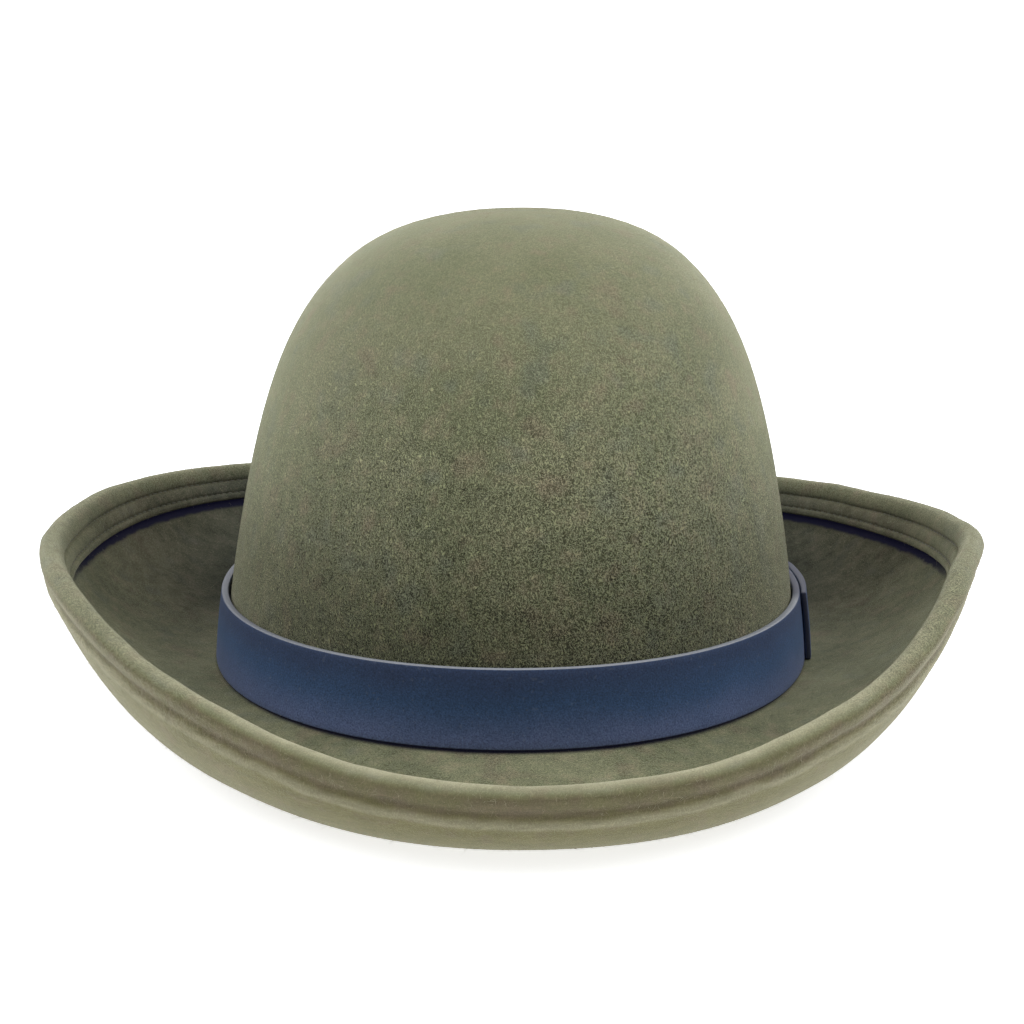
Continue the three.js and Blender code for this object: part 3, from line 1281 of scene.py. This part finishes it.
@dataclass
class FeltFuzz:
    """Short loose fibres teased out of the felt, thickest on the brim's round edge."""

    cap: bpy.types.Object
    finish: FuzzFinish
    count: int = 13800
    thick: float = 0.06
    shortest: float = 0.8
    longest: float = 2.2
    taper: float = 0.8
    bend: float = 0.35
    lift: tuple = (0.08, 0.55)
    scatter: float = 0.7
    sunk: float = 0.05
    seed: int = 5

    # How thickly the fibres stand at distances in from the brim's very edge.
    REACHES = (-80.0, -16.0, -9.0, -2.0, 3.0, 9.0, 16.0, 40.0, 80.0)
    SHARES = (0.0, 0.4, 1.0, 1.0, 1.0, 0.5, 0.08, 0.05, 0.12)

    def build(self) -> bpy.types.Object:
        """Models one straight fibre, then bends a copy of it at each chosen place."""
        clear_selection()
        bpy.ops.mesh.primitive_cylinder_add(vertices=3, radius=0.5, depth=1.0)
        fuzz = named("felt_fuzz")
        bpy.ops.object.mode_set(mode="EDIT")
        bpy.ops.mesh.select_all(action="SELECT")
        bpy.ops.mesh.bisect(plane_co=(0, 0, 0), plane_no=(0, 0, 1))
        bpy.ops.object.mode_set(mode="OBJECT")
        one = read_points(fuzz)
        faces = [tuple(p.vertices) for p in fuzz.data.polygons]
        along = one[:, 2] + 0.5
        slim = 1.0 - self.taper * along

        draw = np.random.default_rng(self.seed)
        middle, normal = self._roots(draw)
        side = self._square(draw.normal(size=normal.shape), normal)
        curl = self._square(draw.normal(size=normal.shape), side)
        lift = draw.uniform(*self.lift, len(normal))[:, None]
        way = side * np.sqrt(1 - lift**2) + normal * lift
        length = draw.uniform(self.shortest, self.longest, len(normal))[:, None]
        across = np.cross(way, curl)
        across /= np.linalg.norm(across, axis=1, keepdims=True)
        other = np.cross(way, across)

        def spread(values: np.ndarray) -> np.ndarray:
            """Numbers of the one fibre laid out for every copy."""
            return values[None, :, None]

        points = middle[:, None] + way[:, None] * spread(along) * length[:, None]
        points = points + curl[:, None] * spread(along**2) * length[:, None] * self.bend
        points = points + across[:, None] * spread(one[:, 0] * slim) * self.thick
        points = points + other[:, None] * spread(one[:, 1] * slim) * self.thick
        points[..., 2] = np.maximum(points[..., 2], self.thick)
        polygons = [
            tuple(v + i * len(one) for v in face) for i in range(len(middle)) for face in faces
        ]
        mesh = bpy.data.meshes.new("felt_fuzz")
        mesh.from_pydata((points.reshape(-1, 3) * MM).tolist(), [], polygons)
        fuzz.data = mesh
        mesh.materials.append(self.finish.material())
        return fuzz

    def _roots(self, draw: np.random.Generator) -> tuple[np.ndarray, np.ndarray]:
        """Chooses where the fibres grow.

        Args:
            draw: The source of the random numbers.

        Returns:
            Places in millimetres and the felt's outward way at each.
        """
        data = self.cap.data
        first = read_all(data.polygons, "loop_start", 1, np.int32)[:, 0]
        corner = read_all(data.loops, "vertex_index", 1, np.int32)[:, 0]
        station = read_all(data.attributes["station"].data, "value")[corner, 0]
        reach = read_all(data.attributes["edge_reach"].data, "value")[corner, 0]
        # Blender may number a sphere's faces differently on each run, so they are
        # sorted by the stations at their corners before any is drawn.
        lowest, highest = np.minimum.reduceat(station, first), np.maximum.reduceat(station, first)
        order = np.lexsort((highest, lowest))
        here = np.minimum.reduceat(reach, first) / MM
        area = read_all(data.polygons, "area")[:, 0]
        share = (area * np.interp(here, self.REACHES, self.SHARES))[order]
        pick = order[draw.choice(len(order), self.count, p=share / share.sum())]
        normal = read_all(data.polygons, "normal", 3)[pick].astype(float)
        centre = read_all(data.polygons, "center", 3)[pick] / MM
        shift = self._square(draw.normal(size=normal.shape), normal)
        centre = centre + shift * draw.uniform(0, self.scatter, (self.count, 1))
        return centre - normal * self.sunk, normal

    @staticmethod
    def _square(ways: np.ndarray, to: np.ndarray) -> np.ndarray:
        """Turns ways square to others and makes them 1 long."""
        ways = ways - to * (ways * to).sum(1, keepdims=True)
        return ways / np.linalg.norm(ways, axis=1, keepdims=True)


# Studio.


@dataclass
class Studio:
    """Plain pale floor, soft light and the camera."""

    camera_place: tuple = (-0.01046, -0.47586, 0.15773)
    right: tuple = (0.99978, -0.02069, 0.00229)
    up: tuple = (0.00268, 0.23677, 0.97156)
    forward: tuple = (0.02065, 0.97135, -0.23677)
    lens: float = 56.96
    sensor: float = 36.0
    sight: tuple = (0.02, 50.0)
    floor_size: float = 12.0
    floor_drop: float = 0.0002
    floor_colour: tuple = (0.96, 0.98, 1.06)
    floor_glow: float = 0.70
    surround: float = 0.2
    backdrop: float = 1.5
    left_power: float = 17.0
    right_power: float = 15.0
    box_size: float = 1.2
    box_place: tuple = (0.96, -0.12, 1.15)
    box_target: tuple = (0.0, 0.0, 0.05)

    def camera(self) -> None:
        """Puts the camera where the photograph was taken."""
        data = bpy.data.cameras.new("camera")
        data.lens = self.lens
        data.sensor_width = self.sensor
        data.clip_start, data.clip_end = self.sight
        camera = bpy.data.objects.new("camera", data)
        bpy.context.collection.objects.link(camera)
        back = -Vector(self.forward)
        axes = Matrix((self.right, self.up, back)).transposed()
        camera.matrix_world = Matrix.Translation(self.camera_place) @ axes.to_4x4()
        bpy.context.scene.camera = camera

    def floor(self) -> None:
        """Makes a wide pale floor that glows from below like a light table, its glow dimmed near
        the hat as a painted shadow.
        """
        clear_selection()
        place = (0, 0, -self.floor_drop)
        bpy.ops.mesh.primitive_plane_add(size=self.floor_size, location=place)
        floor = named("floor")
        material, kit = new_material("pale_floor")
        shade = 0.86 + (kit.noise(120.0, 2.0) - 0.5) * 0.02
        reach = kit.node("ShaderNodeVectorMath", {"operation": "LENGTH"}, {0: kit.place()}, 1)
        # Painted shadow: the glow is dimmer within about 0.12 to 0.22 m of the middle.
        glow = self.floor_glow + reach.ramp(0.12, 0.22) * 0.30 + reach.ramp(0.4, 2.5) * 0.5
        sockets = {
            "Base Color": kit.tint(self.floor_colour, shade),
            "Roughness": 0.8,
            "Emission Color": kit.tint((1.0, 1.0, 1.0), glow),
            "Emission Strength": 1.0,
        }
        kit.surface(kit.principled(sockets))
        floor.data.materials.append(material)

    def lights(self) -> None:
        """Sets a pale surround, brightest behind, and a soft box high on either side."""
        world = bpy.data.worlds.new("surround")
        bpy.context.scene.world = world
        world.use_nodes = True
        kit = NodeKit(world.node_tree)
        way = kit.node("ShaderNodeTexCoord", {}, {}, "Generated")
        _, back, up = kit.split(way)
        behind = back.ramp(0.3, 0.85) * up.ramp(0.75, 0.45)
        strength = self.surround + behind * self.backdrop
        sockets = {"Color": (1.0, 1.0, 1.0, 1.0), "Strength": strength}
        kit.surface(kit.node("ShaderNodeBackground", {}, sockets), "ShaderNodeOutputWorld")
        boxes = (("left_box", 1.0, self.left_power), ("right_box", -1.0, self.right_power))
        for name, side, power in boxes:
            self._soft_light(name, side, power)

    def _soft_light(self, name: str, side: float, power: float) -> None:
        """Adds a square soft light that faces the hat.

        Args:
            name: The light's name.
            side: 1 on the picture's right and -1 on its left.
            power: Its power in watts.
        """
        data = bpy.data.lights.new(name, "AREA")
        data.shape = "SQUARE"
        data.size = self.box_size
        data.energy = power
        light = bpy.data.objects.new(name, data)
        bpy.context.collection.objects.link(light)
        light.location = (side * self.box_place[0], *self.box_place[1:])
        way = Vector(self.box_target) - light.location
        light.rotation_euler = way.to_track_quat("-Z", "Y").to_euler()

    def build(self) -> None:
        """Sets up camera, floor and lights, and shows colours as they are."""
        self.camera()
        self.floor()
        self.lights()
        bpy.context.scene.view_settings.view_transform = "Standard"
        bpy.context.scene.view_settings.look = "None"


# Main.


def report(obj: bpy.types.Object) -> None:
    """Logs a piece's size in triangles."""
    obj.data.calc_loop_triangles()
    LOG.info("%s: %d triangles", obj.name, len(obj.data.loop_triangles))


def main() -> None:
    """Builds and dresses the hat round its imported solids."""
    logging.basicConfig(level=logging.INFO, format="%(name)s %(message)s")
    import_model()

    shape = HatShape()
    cap = FeltCap(shape, FeltFinish()).build()
    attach(cap, "root")
    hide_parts("felt_cap")
    report(cap)

    band = LeatherBand(shape, LeatherFinish(), CutEdgeFinish()).build()
    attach(band, "root")
    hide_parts("leather_band")
    report(band)

    stitches = WeltStitches(shape, ThreadFinish()).build()
    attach(stitches, "root")
    report(stitches)

    fuzz = FeltFuzz(cap, FuzzFinish()).build()
    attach(fuzz, "root")
    report(fuzz)

    Studio().build()


if __name__ == "__main__":
    main()
